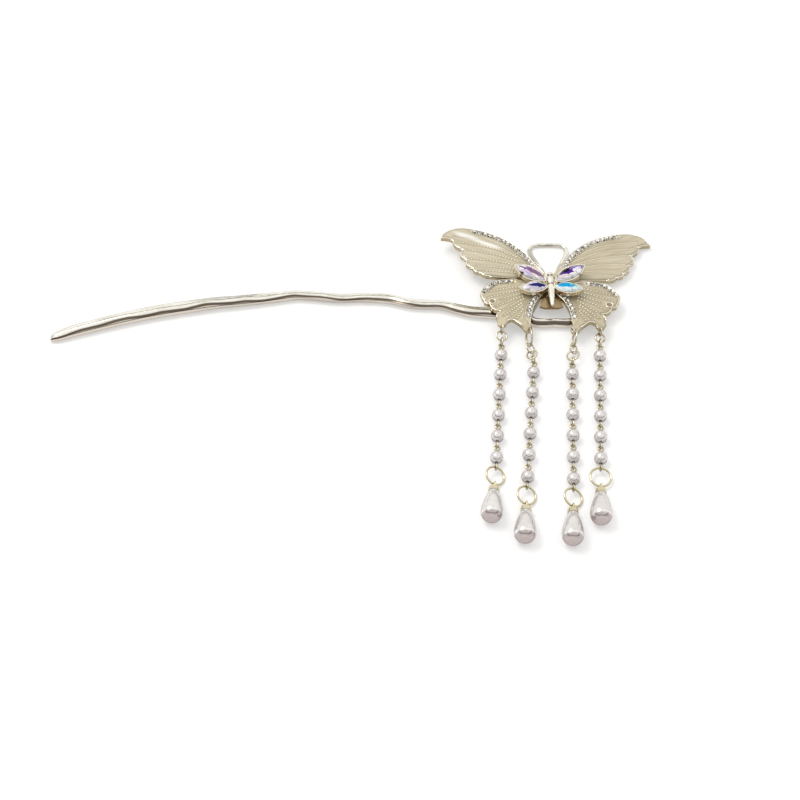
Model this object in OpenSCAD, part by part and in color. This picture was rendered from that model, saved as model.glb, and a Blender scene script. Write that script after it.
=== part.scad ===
// Buyao hairpin: a hammered hair stick that ends in an hourglass loop, an enamelled
// butterfly on the loop, a small jewelled butterfly on top, and four pearl strands.
// It lies on a flat surface at z = 0 with the stick along X and the strands towards -Y.
// Millimetres. Every piece is placed from the hub, the middle of the butterfly.

/* [Stick] */
// Length of the stick along X, from its tip to the loop
stick_len = 141.2; // [110:0.1:165]
// Rise of the stick's bow above the bar of the loop
stick_bow = 11.6; // [6:0.1:14]
// Width of the stick where it is widest
stick_w = 4.6; // [3.8:0.1:5.4]
// Height of the stick where it is highest
stick_h = 3.1; // [2.5:0.1:3.6]
// Depth of the hammered facets
hammer_depth = 0.22; // [0.05:0.01:0.3]
// Length of one twist of the hammered facets
hammer_pitch = 21; // [15:1:60]

/* [Hourglass loop] */
// Width of the loop between the middles of its wires
loop_w = 14.4; // [12.6:0.1:15.6]
// Length of the loop from bar to top
loop_l = 33.5; // [29:0.1:38]
// Distance from the hub down to the bar
loop_drop = 12.5; // [11:0.1:13.2]
// Offset of the loop to the right of the hub
loop_x = 0.7; // [0:0.1:1.5]
// Width of the bar at the foot of the loop
bar_w = 3; // [2.4:0.1:3.3]
// Height of the bar and of the loop's waist
bar_h = 2.9; // [2.3:0.1:3.3]

/* [Wing frame] */
// Gap between pieces that rest on each other
seat_gap = 0.1; // [0.05:0.01:0.15]
// Thickness of the wing plates
plate_t = 0.8; // [0.6:0.05:1.2]
// Height of the rims and vein ridges above the plates
rim_h = 0.45; // [0.35:0.05:0.7]
// Width of the rims
rim_w = 0.5; // [0.35:0.05:0.7]
// Width of a vein ridge at its root
vein_w = 0.42; // [0.3:0.02:0.5]
// Radius of the hub that the four wings grow from
hub_r = 3.2; // [2.9:0.1:3.5]
// Reach of an upper wing from the hub
upper_span = 32.4; // [29:0.2:36]
// Rise of an upper wing above the hub
upper_rise = 24; // [21:0.2:27]
// Reach of a lower wing from the hub
lower_span = 21; // [19.5:0.2:23]
// Fall of a lower wing below the hub
lower_fall = 18.5; // [17.5:0.2:20]
// Droop of the upper left wing in degrees
droop_upper_left = -1; // [-2:0.5:2]
// Droop of the upper right wing in degrees
droop_upper_right = 4.8; // [2:0.2:4.8]
// Droop of the lower right wing in degrees
droop_lower_right = 1.5; // [0:0.5:2]
// Turn of the lower right wing towards the strands in degrees
turn_lower_right = 3.5; // [0:0.5:4]
// Radius of the round lobe at an eyelet
eyelet_r = 1.35; // [1.3:0.05:1.5]
// Diameter of an eyelet's hole
eyelet_hole = 1.6; // [1.5:0.05:1.7]
// Radius of the little round cell in a lower wing
cell_r = 1.2; // [1:0.05:1.4]

/* [Enamel] */
// Thickness of the enamel
enamel_t = 0.3; // [0.2:0.02:0.34]
// Gap around and under the enamel
enamel_gap = 0.06; // [0.04:0.01:0.1]

/* [Rhinestones] */
// Diameter of a rhinestone
stone_d = 1.4; // [1.2:0.05:1.5]
// Gap between neighbouring rhinestones
stone_spacing = 0.22; // [0.2:0.01:0.4]
// Height of a rhinestone
stone_h = 0.95; // [0.8:0.05:1.1]
// Gap around a rhinestone in its seat
stone_gap = 0.05; // [0.03:0.01:0.08]
// Metal beside a row of seats
band_margin = 0.25; // [0.2:0.05:0.35]

/* [Small butterfly] */
// Greatest radius of the small butterfly's body
body_r = 1.15; // [0.9:0.05:1.3]
// Length of the body from head to tail
body_len = 13.8; // [12.2:0.1:15]
// Radius of the foot that stands on the roots of the wings
foot_r = 2; // [1.8:0.1:2.2]
// Height of the foot under the collets
foot_h = 0.5; // [0.35:0.05:0.7]
// Length of an upper crystal
upper_crystal_l = 10; // [9:0.1:11]
// Width of an upper crystal
upper_crystal_w = 4.4; // [4:0.1:4.8]
// Length of a lower crystal
lower_crystal_l = 8; // [7:0.1:8.6]
// Width of a lower crystal
lower_crystal_w = 3.7; // [3.3:0.1:4]
// Height of a crystal
crystal_h = 2; // [1.7:0.1:2.4]
// Gap around and under a crystal
crystal_gap = 0.06; // [0.04:0.01:0.1]
// Wall of a collet
collet_wall = 0.35; // [0.28:0.01:0.4]
// Floor of a collet
collet_floor = 0.35; // [0.3:0.05:0.6]
// Upward tilt of the collets in degrees
collet_tilt = 5; // [3:0.5:8]

/* [Strands] */
// Diameter of a pearl
pearl_d = 3.7; // [3.4:0.1:4.2]
// Distance from one pearl to the next
pearl_pitch = 7.55; // [7.3:0.05:8.4]
// Bore through a pearl
pearl_bore = 0.9; // [0.8:0.05:1.1]
// Thickness of an eye pin's shank
pin_d = 0.44; // [0.36:0.02:0.5]
// Radius of an eye, to the middle of its wire
eye_r = 0.8; // [0.75:0.01:0.9]
// Thickness of an eye's wire and of the small rings' wire
eye_wire = 0.5; // [0.46:0.01:0.54]
// Play between linked pieces
link_play = 0.16; // [0.12:0.01:0.2]
// Play between the top rings of a strand, which cross at a slant
ring_play = 0.24; // [0.22:0.01:0.3]
// Radius of the jump ring above a drop, to the middle of its wire
jump_r = 2.7; // [2.4:0.05:2.8]
// Thickness of a large ring's wire
jump_wire = 0.6; // [0.5:0.02:0.64]

/* [Drops] */
// Length of a pearl drop
drop_l = 10.2; // [9:0.1:11.6]
// Diameter of a pearl drop
drop_d = 6; // [5.4:0.1:6.6]
// Diameter of a drop's flat neck
neck_d = 2.9; // [2.6:0.1:3.1]
// Diameter of a cap's flange
cap_d = 3; // [2.8:0.1:3.2]
// Height of a cap between its loop and the drop
cap_h = 2.4; // [2:0.05:2.8]
// Gap between a cap and its drop
cap_gap = 0.06; // [0.04:0.01:0.1]
// Length of a cap's pin inside the drop
cap_pin_l = 3; // [2:0.1:4]

/* [Hidden] */
$fn = 48;
// Stations of the stick from the loop to the tip.
// Columns: along (of stick_len), rise (of stick_bow), width (of stick_w), height (of stick_h),
// hammering (of hammer_depth). The first rows lie inside the bar of the loop.
STICK = [
  [-0.008, 0.03, 0.3, 0.45, 0],
  [0.004, 0.06, 0.5, 0.7, 0],
  [0.016, 0.11, 0.7, 0.86, 0],
  [0.032, 0.2, 0.8, 0.9, 0],
  [0.055, 0.29, 0.88, 0.92, 0.1],
  [0.085, 0.345, 0.93, 0.93, 0.3],
  [0.12, 0.39, 0.92, 0.93, 0.5],
  [0.155, 0.51, 0.86, 0.9, 0.7],
  [0.19, 0.63, 0.8, 0.87, 1],
  [0.245, 0.67, 0.8, 0.86, 1],
  [0.3, 0.86, 0.8, 0.86, 1],
  [0.357, 0.9, 0.77, 0.85, 1],
  [0.404, 0.87, 0.76, 0.84, 1],
  [0.449, 0.94, 0.77, 0.85, 1],
  [0.493, 0.99, 0.79, 0.87, 1],
  [0.53, 0.92, 0.83, 0.9, 0.9],
  [0.573, 0.83, 0.88, 0.93, 0.8],
  [0.62, 0.75, 0.93, 0.97, 0.5],
  [0.665, 0.685, 0.98, 1, 0.3],
  [0.738, 0.51, 1, 1, 0.15],
  [0.81, 0.3, 0.99, 1, 0.1],
  [0.881, 0.03, 0.95, 0.97, 0],
  [0.951, -0.27, 0.88, 0.9, 0],
  [0.98, -0.42, 0.76, 0.8, 0],
  [0.995, -0.485, 0.58, 0.64, 0],
  [1, -0.5, 0.3, 0.34, 0],
];
// Right half of the hourglass loop from the middle of the bar to the middle of the top.
// Columns: out (of half loop_w), up (of loop_l), width (of bar_w), height (of bar_h)
LOOP = [
  [0, 0, 0.96, 0.93],
  [0.45, -0.006, 1, 0.95],
  [0.8, 0.005, 1, 0.95],
  [0.97, 0.04, 0.94, 0.93],
  [1, 0.1, 0.78, 0.9],
  [0.86, 0.17, 0.7, 0.92],
  [0.6, 0.27, 0.7, 0.97],
  [0.35, 0.38, 0.72, 1],
  [0.26, 0.48, 0.72, 1],
  [0.31, 0.59, 0.64, 0.9],
  [0.46, 0.7, 0.55, 0.72],
  [0.65, 0.81, 0.48, 0.56],
  [0.78, 0.89, 0.45, 0.48],
  [0.77, 0.945, 0.44, 0.46],
  [0.63, 0.985, 0.43, 0.46],
  [0.33, 0.998, 0.43, 0.46],
  [0, 1, 0.43, 0.46],
];
// Leading edge of an upper wing from its root to its tip.
// Columns: out (of upper_span), up (of upper_rise), band (1 where rhinestones sit)
UPPER_LEAD = [
  [0.04, 0.2, 0],
  [0.075, 0.27, 0],
  [0.12, 0.35, 1],
  [0.165, 0.47, 1],
  [0.21, 0.56, 1],
  [0.28, 0.67, 1],
  [0.37, 0.78, 1],
  [0.48, 0.875, 1],
  [0.59, 0.94, 1],
  [0.69, 0.98, 1],
  [0.74, 0.993, 0],
  [0.81, 1, 0],
  [0.9, 0.97, 0],
  [0.96, 0.915, 0],
  [0.995, 0.85, 0],
  [1, 0.81, 0],
];
// Notches of the scalloped trailing edge, from the tip to the hub.
// Columns: out (of upper_span), up (of upper_rise), bulge of the lobe after it (of its chord)
UPPER_NOTCHES = [
  [1, 0.81, -0.07],
  [0.89, 0.78, 0.18],
  [0.795, 0.61, 0.3],
  [0.765, 0.43, 0.26],
  [0.71, 0.285, 0.26],
  [0.64, 0.205, 0.18],
  [0.545, 0.14, 0.03],
  [0.2, 0.105, 0],
  [0.06, 0.03, 0],
];
// Vein ridges of an upper wing.
// Columns: start out, start up, end out, end up (of upper_span and upper_rise), bend (of length)
UPPER_VEINS = [
  [0.15, 0.37, 0.87, 0.85, 0.1],
  [0.145, 0.33, 0.83, 0.73, 0.08],
  [0.145, 0.29, 0.755, 0.6, 0.06],
  [0.145, 0.25, 0.725, 0.44, 0.045],
  [0.145, 0.21, 0.67, 0.31, 0.03],
  [0.145, 0.17, 0.6, 0.23, 0.015],
];
// Top edge of a lower wing from its root to its outer shoulder.
// Columns: out (of lower_span), up (of lower_fall), band (1 where rhinestones sit)
LOWER_TOP = [
  [0.03, 0.02, 0],
  [0.18, 0.05, 0],
  [0.33, 0.09, 0],
  [0.44, 0.12, 0],
  [0.51, 0.127, 1],
  [0.6, 0.127, 1],
  [0.7, 0.122, 1],
  [0.81, 0.085, 1],
  [0.89, 0, 1],
  [0.965, -0.08, 1],
  [1, -0.17, 1],
  [0.985, -0.25, 0],
];
// Notches of a lower wing's outer edge.
// Columns: out (of lower_span), up (of lower_fall), bulge of the lobe after it (of its chord)
LOWER_NOTCHES = [
  [0.985, -0.25, 0.06],
  [0.955, -0.335, 0.26],
  [0.875, -0.43, 0.2],
  [0.735, -0.58, 0.24],
  [0.77, -0.77, 0.1],
  [0.735, -0.87, 0],
];
// Arch between the two eyelets of a lower wing, with out and up as above
LOWER_ARCH = [
  [0.735, -0.87],
  [0.69, -0.85],
  [0.63, -0.79],
  [0.57, -0.762],
  [0.51, -0.815],
  [0.44, -0.9],
  [0.385, -0.985],
];
// Inner edge of a lower wing from its inner eyelet up to its root, columns as in LOWER_TOP
LOWER_INNER = [
  [0.345, -0.985, 0],
  [0.318, -0.86, 0],
  [0.3, -0.72, 1],
  [0.27, -0.535, 1],
  [0.215, -0.38, 1],
  [0.155, -0.275, 1],
  [0.105, -0.21, 1],
  [0.08, -0.175, 0],
  [0.04, -0.12, 0],
];
// Vein ridges of a lower wing, columns as in UPPER_VEINS
LOWER_VEINS = [
  [0.185, -0.02, 0.865, -0.155, 0.03],
  [0.185, -0.065, 0.88, -0.29, 0.03],
  [0.185, -0.115, 0.715, -0.335, 0.03],
  [0.22, -0.165, 0.79, -0.49, 0.02],
  [0.27, -0.225, 0.655, -0.54, 0.01],
  [0.31, -0.295, 0.69, -0.69, 0],
  [0.345, -0.37, 0.58, -0.675, -0.01],
  [0.385, -0.46, 0.5, -0.74, -0.02],
];
// Eyelets of a lower wing, outer then inner, with out and up as above
EYELETS = [
  [0.71, -0.815],
  [0.355, -0.93],
];
// The rim is cut down to the plate over an eyelet and this far past its lobe
eyelet_past = 0.05;
// Middle of the little round cell of a lower wing, with out and up as above
CELL = [0.835, -0.375];
// Wings in the order upper left, upper right, lower left, lower right.
// Columns: side, droop, turn, upper (1) or lower (0)
WINGS = [
  [-1, droop_upper_left, 0, 1],
  [1, droop_upper_right, 0, 1],
  [-1, 0, 0, 0],
  [1, droop_lower_right, turn_lower_right, 0],
];
// Wall of the little cell, as a share of rim_w
cell_wall = 0.8;
WING_NAMES = ["upper_left", "upper_right", "lower_left", "lower_right"];
// Crystals in the same order.
// Columns: start x and y on the body (of body_len), direction in degrees, upper (1) or lower (0)
CRYSTALS = [
  [-0.04, -0.045, 148, 1],
  [0.045, -0.055, 32, 1],
  [0.012, -0.158, 189, 0],
  [-0.012, -0.15, -13, 0],
];
// Facet rings of a rhinestone. Columns: radius (of the girdle's), height (of stone_h), turn
STONE = [
  [0.55, 0, 0],
  [1, 0.45, 22.5],
  [0.58, 1, 0],
];
// Facet rings of a crystal. Columns: size (of its outline), height (of crystal_h)
CUT = [
  [0.5, 0],
  [0.985, 0.42],
  [0.985, 0.5],
  [0.8, 0.78],
  [0.55, 1],
];
// Body of the small butterfly from tail to head.
// Columns: along (of body_len), radius (of body_r)
BODY = [
  [0, 0.12],
  [0.03, 0.42],
  [0.12, 0.62],
  [0.3, 0.85],
  [0.48, 1],
  [0.59, 0.86],
  [0.635, 0.6],
  [0.68, 0.82],
  [0.77, 1],
  [0.84, 0.82],
  [0.875, 0.52],
  [0.92, 0.78],
  [0.965, 0.72],
  [0.995, 0.35],
];
// Share of the body that lies below the hub's middle, and the place of the foot
body_tail = 0.745;
foot_at = 0.09;
// Share of the collets' floor that the foot fills
foot_rise = 0.7;
// Share of a crystal's height that its collet covers
collet_cover = 0.5;
// Strands from left to right, laid by hand: wing and eyelet that carry the strand, its lean
// from -Y in degrees along the rings, along the pearls and at the drop, the roll of its jump
// ring in degrees and its size (of jump_r), and the radii of its top rings to the middle of
// their wire
ROUTES = [
  [2, 0, 3.5, 4.2, 6.6, -24, 1, [1.5, 1.5, 1.5]],
  [2, 1, -6, 5.5, 5.2, -22, 1, [2.7, 1.6, 1.5, 1.4]],
  [3, 1, 7.5, 3.5, 5.1, -25, 1, [2.7, 1.4, 1.8, 1.4]],
  [3, 0, 5, 4.3, 4.8, -6, 1.07, [1.4, 1.4, 1.4]],
];
// Profile of a pearl drop. Columns: along (of drop_l), radius (from neck 0 to belly 1)
DROP = [
  [0, 0],
  [0.1, 0.16],
  [0.2, 0.38],
  [0.3, 0.57],
  [0.42, 0.74],
  [0.55, 0.88],
  [0.66, 0.98],
  [0.74, 1],
  [0.83, 0.93],
  [0.9, 0.76],
  [0.955, 0.48],
  [0.988, 0.12],
  [1, -0.35],
];
// Tongue of the hub: half widths at its root and foot, length, length of its sloped ends
TONGUE = [1.6, 3.5, 8.8, 0.6];
// Rolls of the upper and lower eye of a pin, in degrees
pin_roll_top = -12;
pin_roll_low = 78;
pearls = 6;
steps = 4;
stick_sides = 14;
loop_sides = 12;

// Heights above the surface that the hairpin lies on
tilt_room = 0.26;
plate_z = bar_h + tilt_room + seat_gap;
hub_skin = 0.06;
rim_top = plate_z + plate_t + rim_h;
collet_z = rim_top + seat_gap + foot_h;
body_z = collet_z + body_r;
low_z = pearl_d / 2;
band_w = stone_d + 2 * (stone_gap + band_margin);
stone_pitch = stone_d + stone_spacing;
eye_link = 2 * eye_r - eye_wire - link_play;
// Shares of the spans where the cells begin
upper_root = 0.15 * upper_span;
lower_root = 0.2 * lower_span;
// Share of a width that a moved point keeps from the outline, and the sharpest corner moved
inset_keep = 0.93;
corner_least = 0.35;

// Curves
function last(v) = v[len(v) - 1];
function xy(p) = [p[0], p[1]];
function unit(v) = v / norm(v);
function lerp(a, b, t) = a + (b - a) * t;
function spline(a, b, c, d, t) = 0.5 * (2 * b + (c - a) * t
  + (2 * a - 5 * b + 4 * c - d) * t * t + (3 * b - a - 3 * c + d) * t * t * t);
// Smooth curve through the rows of a table, with n steps between two rows
function smooth(rows, n) = let (m = len(rows) - 1) concat(
  [for (i = [0:m - 1], j = [0:n - 1])
    spline(rows[max(i - 1, 0)], rows[i], rows[i + 1], rows[min(i + 2, m)], j / n)],
  [rows[m]]);
// Lobes between notches, the last notch left out
function lobes(rows, n) = [for (i = [0:len(rows) - 2], j = [0:n - 1])
  let (a = xy(rows[i]), b = xy(rows[i + 1]), t = j / n, c = b - a)
  lerp(a, b, t) + [-c[1], c[0]] * rows[i][2] * sin(180 * t)];
function scaled(rows, size) = [for (p = rows) [p[0] * size[0], p[1] * size[1], p[2]]];
function band_of(p) = p[2] == undef ? 0 : min(max(p[2], 0), 1);
function from_segment(p, a, b) = let (c = b - a)
  norm(p - lerp(a, b, min(max((p - a) * c / (c * c), 0), 1)));
function from_outline(p, pts) = let (n = len(pts))
  min([for (i = [0:n - 1]) from_segment(p, xy(pts[i]), xy(pts[(i + 1) % n]))]);
// Closed clockwise outline moved inwards by its own width at each point
function moved_in(pts, widths) = let (n = len(pts)) [for (i = [0:n - 1])
  let (
    p = xy(pts[i]),
    a = unit(p - xy(pts[(i + n - 1) % n])),
    b = unit(xy(pts[(i + 1) % n]) - p),
    na = [a[1], -a[0]],
    nb = [b[1], -b[0]]
  )
  p + (na + nb) / max(1 + na * nb, corner_least) * widths[i]];
// The same without the points that come too near another stretch of the outline
function inset(pts, widths) = let (moved = moved_in(pts, widths))
  [for (i = [0:len(pts) - 1]) if (from_outline(moved[i], pts) > inset_keep * widths[i]) moved[i]];
function lengths(pts) = [for (i = 0, s = 0; i < len(pts);
  s = s + (i < len(pts) - 1 ? norm(pts[i + 1] - pts[i]) : 0), i = i + 1) s];
function at_length(pts, run, s, i = 0) = i >= len(pts) - 2 || run[i + 1] >= s
  ? lerp(pts[i], pts[i + 1], (s - run[i]) / (run[i + 1] - run[i]))
  : at_length(pts, run, s, i + 1);

// Outlines of the wings, clockwise from the root, with x outwards and y up
upper_size = [upper_span, upper_rise];
lower_size = [lower_span, lower_fall];
upper_outline = concat(
  smooth(scaled(UPPER_LEAD, upper_size), steps),
  [for (p = lobes(scaled(UPPER_NOTCHES, upper_size), steps + 2)) if (p[0] < upper_span) p],
  [xy(scaled([last(UPPER_NOTCHES)], upper_size)[0])]
);
lower_outline = concat(
  smooth(scaled(LOWER_TOP, lower_size), steps),
  [for (i = [1:(len(LOWER_NOTCHES) - 1) * (steps + 1) - 1])
    lobes(scaled(LOWER_NOTCHES, lower_size), steps + 1)[i]],
  [for (p = smooth([for (q = LOWER_ARCH) [q[0] * lower_span, q[1] * lower_fall]], 3)) p],
  smooth(scaled(LOWER_INNER, lower_size), steps)
);
function from_eyelets(p) =
  min([for (e = EYELETS) norm(p - [e[0] * lower_span, e[1] * lower_fall])]);
function outline(w) = WINGS[w][3] == 1 ? upper_outline : lower_outline;
function cell(w) = let (
  pts = outline(w),
  edge = inset(pts, [for (p = pts) rim_w + (band_w - rim_w) * band_of(p)]),
  upper = WINGS[w][3] == 1,
  root = upper ? upper_root : lower_root
) [for (p = edge) if (p[0] > root && (upper || from_eyelets(p) > eyelet_r * inset_keep)) p];
// Middle line of a band of rhinestones, for the points a to b of an outline
function band_line(pts, a, b) = let (
  mid = moved_in(pts, [for (p = pts) band_w / 2])
) [for (i = [a:b]) if (band_of(pts[i]) > 0.98) mid[i]];
function stone_spots(line) = let (
  run = lengths(line),
  n = floor(last(run) / stone_pitch) + 1,
  start = (last(run) - (n - 1) * stone_pitch) / 2
) [for (i = [0:n - 1]) at_length(line, run, start + i * stone_pitch)];
lead_count = (len(UPPER_LEAD) - 1) * steps;
top_count = (len(LOWER_TOP) - 1) * steps;
inner_start = len(lower_outline) - (len(LOWER_INNER) - 1) * steps - 1;
upper_spots = stone_spots(band_line(upper_outline, 0, lead_count));
lower_spots = stone_spots(band_line(lower_outline, 0, top_count));
inner_spots = stone_spots(band_line(lower_outline, inner_start, len(lower_outline) - 1));
// Half widths of a vein ridge at its root and tip, as shares of vein_w
vein_root = 0.5;
vein_tip = 0.3;
// Strip along a vein ridge, grown by a gap on each side
function vein(row, size, gap) = let (
  a = [row[0] * size[0], row[1] * size[1]],
  b = [row[2] * size[0], row[3] * size[1]],
  c = b - a,
  side = [-c[1], c[0]],
  mid = [for (t = [0:0.125:1]) lerp(a, b, t) + side * row[4] * sin(180 * t)],
  half = [for (t = [0:0.125:1]) vein_w * lerp(vein_root, vein_tip, t) + gap],
  tip = unit(c) * gap,
  ends = [for (i = [0:8]) i == 8 ? 1 : (i == 0 ? -1 : 0)]
) concat(
  [for (i = [0:8]) mid[i] + unit(side) * half[i] + tip * ends[i]],
  [for (i = [8:-1:0]) mid[i] - unit(side) * half[i] + tip * ends[i]]);

// Place of a point of a wing, given outwards and up, at a height above the wing's underside
function wing_point(w, p, h) = let (
  row = WINGS[w],
  t = -row[2],
  x = p[0] * cos(t) - p[1] * sin(t),
  y = p[0] * sin(t) + p[1] * cos(t)
) [row[0] * (x * cos(row[1]) + h * sin(row[1])), y, plate_z + h * cos(row[1]) - x * sin(row[1])];

// Places along a strand
function slope_from(a, b) = atan2(a[2] - b[2], norm(xy(b) - xy(a)));
// Rings of a greater radius have the thicker wire
large_ring = 2;
function heading(lean) = [-sin(lean), -cos(lean), 0];
function eyelet_place(s) = let (r = ROUTES[s - 1], e = EYELETS[r[1]])
  wing_point(r[0], [e[0] * lower_span, e[1] * lower_fall], plate_t / 2);
function ring_radii(s) = ROUTES[s - 1][7];
function ring_wire(s, i) = i == 0 && ring_radii(s)[0] > large_ring ? jump_wire : eye_wire;
function ring_link(s, i) = ring_radii(s)[i - 1] + ring_radii(s)[i]
  - (ring_wire(s, i - 1) + ring_wire(s, i)) / 2 - ring_play;
// Steepest slope of the rings down from the wing, in degrees
chain_slope = 22;
function ring_z(s, i) = i == 0
  ? max(ring_radii(s)[0] + ring_wire(s, 0) / 2 + link_play / 2,
      eyelet_place(s)[2] - ring_radii(s)[0] * sin(chain_slope))
  : max(low_z, ring_z(s, i - 1) - ring_link(s, i) * sin(chain_slope));
// Level reach of a slope of length d and rise dz
function leg(d, dz) = sqrt(d * d - dz * dz);
function ring_reach(s, i) = i == 0
  ? leg(ring_radii(s)[0], eyelet_place(s)[2] - ring_z(s, 0))
  : ring_reach(s, i - 1) + leg(ring_link(s, i), ring_z(s, i - 1) - ring_z(s, i));
function ring_place(s, i) = let (e = eyelet_place(s))
  [e[0], e[1], ring_z(s, i)] + heading(ROUTES[s - 1][2]) * ring_reach(s, i);
function ring_roll(s, i) = let (n = len(ring_radii(s)) - 1) 80 - i * 180 * round(n / 2) / n;
function first_eye(s) = let (
  n = len(ring_radii(s)) - 1,
  a = ring_place(s, n),
  d = ring_radii(s)[n] + eye_r - (ring_wire(s, n) + eye_wire) / 2 - link_play,
  dz = a[2] - low_z
) [a[0], a[1], low_z] + heading(ROUTES[s - 1][2]) * leg(d, dz);
function eye_place(s, k) = first_eye(s) + heading(ROUTES[s - 1][3]) * (k - 1) * pearl_pitch;
shank = pearl_pitch - eye_link;
function low_eye_place(s, k) = eye_place(s, k) + heading(ROUTES[s - 1][3]) * shank;
function pearl_place(s, k) = (eye_place(s, k) + low_eye_place(s, k)) / 2;
// Share of the flange's diameter that the cap's neck has, and of its height the flange
cap_neck = 0.55;
cap_flange = 0.56;
// Clearance of a flange above the surface, and the share of its diameter that a drop's flat
// end stays short of its length
lie_gap = 0.02;
end_back = 0.02;
// A drop lies on its belly and on its cap's flange
belly_at = 0.74;
flange_back = cap_gap + cap_flange * cap_h;
drop_slope = asin((drop_d - cap_d) / 2 / (belly_at * drop_l + flange_back));
neck_z = cap_d / 2 * cos(drop_slope) + flange_back * sin(drop_slope) + lie_gap;
// The eye's wire is let into the cap by a share of its thickness
eye_sink = 0.8;
cap_eye_back = cap_h + eye_r - eye_wire * (eye_sink - 0.5);
cap_eye_z = neck_z - cap_eye_back * sin(drop_slope);
jump_z = (low_z + cap_eye_z) / 2;
function jump_size(s) = jump_r * ROUTES[s - 1][6];
function jump_leg(s) =
  leg(jump_size(s) + eye_r - (jump_wire + eye_wire) / 2 - link_play, low_z - jump_z);
function jump_place(s) = let (p = low_eye_place(s, pearls))
  [p[0], p[1], jump_z] + heading(ROUTES[s - 1][4]) * jump_leg(s);
function cap_eye_place(s) = let (p = jump_place(s))
  [p[0], p[1], cap_eye_z] + heading(ROUTES[s - 1][4]) * jump_leg(s);
function neck_place(s) = let (p = cap_eye_place(s))
  [p[0], p[1], neck_z] + heading(ROUTES[s - 1][4]) * cap_eye_back * cos(drop_slope);
function drop_end(s) = neck_place(s)[1]
  - cos(ROUTES[s - 1][4]) * (drop_l * cos(drop_slope) - drop_d * end_back);

// The origin is under the middle of the whole hairpin
stick_root_x = loop_x - loop_w / 2;
reach_left = stick_root_x - stick_len;
reach_right = upper_span * cos(droop_upper_right);
reach_back = upper_rise;
reach_front = min([for (s = [1:4]) drop_end(s)]);
middle = [(reach_left + reach_right) / 2, (reach_back + reach_front) / 2];

module placed() {
  translate([-middle[0], -middle[1], 0]) children();
}

// Tube of closed sections. Each section is a list of points.
module loft(sections, closed) {
  n = len(sections);
  m = len(sections[0]);
  rows = closed ? n : n - 1;
  sides = [for (i = [0:rows - 1], j = [0:m - 1])
    let (a = i * m + j, b = i * m + (j + 1) % m, c = ((i + 1) % n) * m + (j + 1) % m,
      d = ((i + 1) % n) * m + j)
    each [[a, c, b], [a, d, c]]];
  caps = closed ? [] : [[for (j = [0:m - 1]) j], [for (j = [m - 1:-1:0]) (n - 1) * m + j]];
  polyhedron([for (s = sections, p = s) p], concat(sides, caps), convexity = 10);
}

// Section of a bar whose middle is at height z
function bar_section(p, z, side, w, h, sides, facet, twist) = [for (j = [0:sides - 1])
  let (a = 360 * j / sides, r = 1 - facet * (1 + cos(3 * a - twist)) / 2)
  [p[0] + side[0] * w / 2 * r * cos(a), p[1] + side[1] * w / 2 * r * cos(a),
    z + h / 2 * r * sin(a)]];

// End of the stretch inside the bar (of stick_len), and the least height there (of bar_h)
root_end = 0.02;
root_h = 0.95;
stick_rows = smooth(STICK, 3);
stick_line = [for (r = stick_rows)
  [stick_root_x - r[0] * stick_len, -loop_drop + r[1] * stick_bow]];
function side_at(line, i, closed) = let (
  n = len(line),
  a = closed ? line[(i + n - 1) % n] : line[max(i - 1, 0)],
  b = closed ? line[(i + 1) % n] : line[min(i + 1, n - 1)],
  t = unit(b - a)
) [-t[1], t[0]];
stick_sections = [for (i = [0:len(stick_rows) - 1]) let (r = stick_rows[i])
  bar_section(stick_line[i], max(r[3] * stick_h, r[0] < root_end ? root_h * bar_h : 0) / 2,
    side_at(stick_line, i, false), r[2] * stick_w, r[3] * stick_h,
    stick_sides, 2 * hammer_depth * max(r[4], 0) / stick_h,
    360 * r[0] * stick_len / hammer_pitch)];

loop_half = smooth(LOOP, 2);
loop_rows = concat(loop_half,
  [for (i = [len(loop_half) - 2:-1:1]) let (r = loop_half[i]) [-r[0], r[1], r[2], r[3]]]);
loop_line = [for (r = loop_rows) [loop_x + r[0] * loop_w / 2, -loop_drop + r[1] * loop_l]];
loop_sections = [for (i = [0:len(loop_rows) - 1]) let (r = loop_rows[i])
  bar_section(loop_line[i], r[3] * bar_h / 2, side_at(loop_line, i, true),
    r[2] * bar_w, r[3] * bar_h, loop_sides, 0, 0)];

module stick() {
  placed() color("#d9d0bd") union() {
    loft(stick_sections, false);
    loft(loop_sections, true);
  }
}

// Height by which a cut runs past the metal that it opens
cut_over = 1;

// Puts a wing drawn outwards and up into its place
module on_wing(w) {
  row = WINGS[w];
  translate([0, 0, plate_z])
    mirror([row[0] < 0 ? 1 : 0, 0, 0])
    rotate([0, row[1], 0])
    rotate([0, 0, -row[2]])
    children();
}

module eyelet_discs(r) {
  for (e = EYELETS)
    translate([e[0] * lower_span, e[1] * lower_fall]) circle(r = r);
}

module wing_outline(w) {
  upper = WINGS[w][3] == 1;
  difference() {
    union() {
      polygon([for (p = outline(w)) xy(p)]);
      if (!upper) eyelet_discs(eyelet_r);
    }
    if (!upper) eyelet_discs(eyelet_hole / 2);
  }
}

// Cell of a wing without its veins, less a gap from every wall
module wing_cell(w, gap) {
  upper = WINGS[w][3] == 1;
  size = upper ? upper_size : lower_size;
  pts = cell(w);
  difference() {
    polygon(gap == 0 ? pts : inset(pts, [for (p = pts) gap]));
    for (row = upper ? UPPER_VEINS : LOWER_VEINS) polygon(vein(row, size, gap));
    if (!upper) eyelet_discs(eyelet_r + eyelet_past + cell_wall * rim_w + gap);
    if (!upper) translate([CELL[0] * lower_span, CELL[1] * lower_fall]) difference() {
      circle(r = cell_r + gap);
      circle(r = cell_r - cell_wall * rim_w - gap);
    }
  }
}

module seats(w) {
  spots = WINGS[w][3] == 1 ? upper_spots : concat(lower_spots, inner_spots);
  for (p = spots) translate(p) circle(d = stone_d + 2 * stone_gap, $fn = 24);
}

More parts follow.
